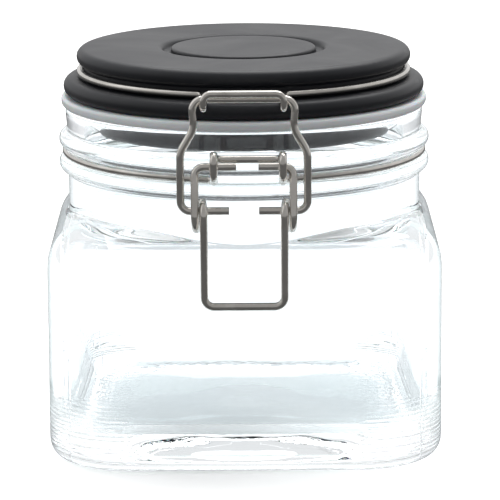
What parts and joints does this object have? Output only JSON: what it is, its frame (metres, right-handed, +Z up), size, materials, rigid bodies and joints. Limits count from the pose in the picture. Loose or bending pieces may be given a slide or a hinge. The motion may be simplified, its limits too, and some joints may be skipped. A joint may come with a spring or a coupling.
{
  "type": "lidded glass canister",
  "caption": "Square glass storage jar with a round neck, a plug lid with a soft seal, and a wire toggle latch that swings up to free the hinged lid.",
  "frame": {"origin": "centre of the base, on the surface that the jar stands on", "axes": "+Z up, -Y towards the latch, +Y towards the lid's hinge, X across the jar"},
  "size_m": [0.1008, 0.1118, 0.1017],
  "materials": {
    "clear_glass": "polished clear soda glass",
    "lid_black": "matt black, slight sheen",
    "seal": "translucent pale silicone",
    "wire_steel": "bright drawn stainless wire"
  },
  "bodies": {
    "jar": {"glass_jar": "clear_glass", "neck_wire": "wire_steel"},
    "lid": {"lid": "lid_black", "gasket": "seal", "lid_wire": "wire_steel"},
    "lever": {"lever": "wire_steel"},
    "bail": {"bail": "wire_steel"}
  },
  "joints": [
    {"name": "lid_hinge", "type": "hinge", "parent": "jar", "child": "lid", "pos_m": [0, 0.052, 0.0793], "axis": [-1, 0, 0], "range_deg": [0, 110]},
    {"name": "lever_pivot", "type": "hinge", "parent": "jar", "child": "lever", "pos_m": [0, -0.052, 0.0793], "axis": [-1, 0, 0], "range_deg": [0, 115]},
    {"name": "bail_pivot", "type": "hinge", "parent": "lever", "child": "bail", "pos_m": [0, -0.0513, 0.06805], "axis": [-1, 0, 0], "range_deg": [-75, 0]}
  ],
  "couplings": [
    {"joint": "bail_pivot", "follows": "lever_pivot", "ratio": -0.635}
  ]
}
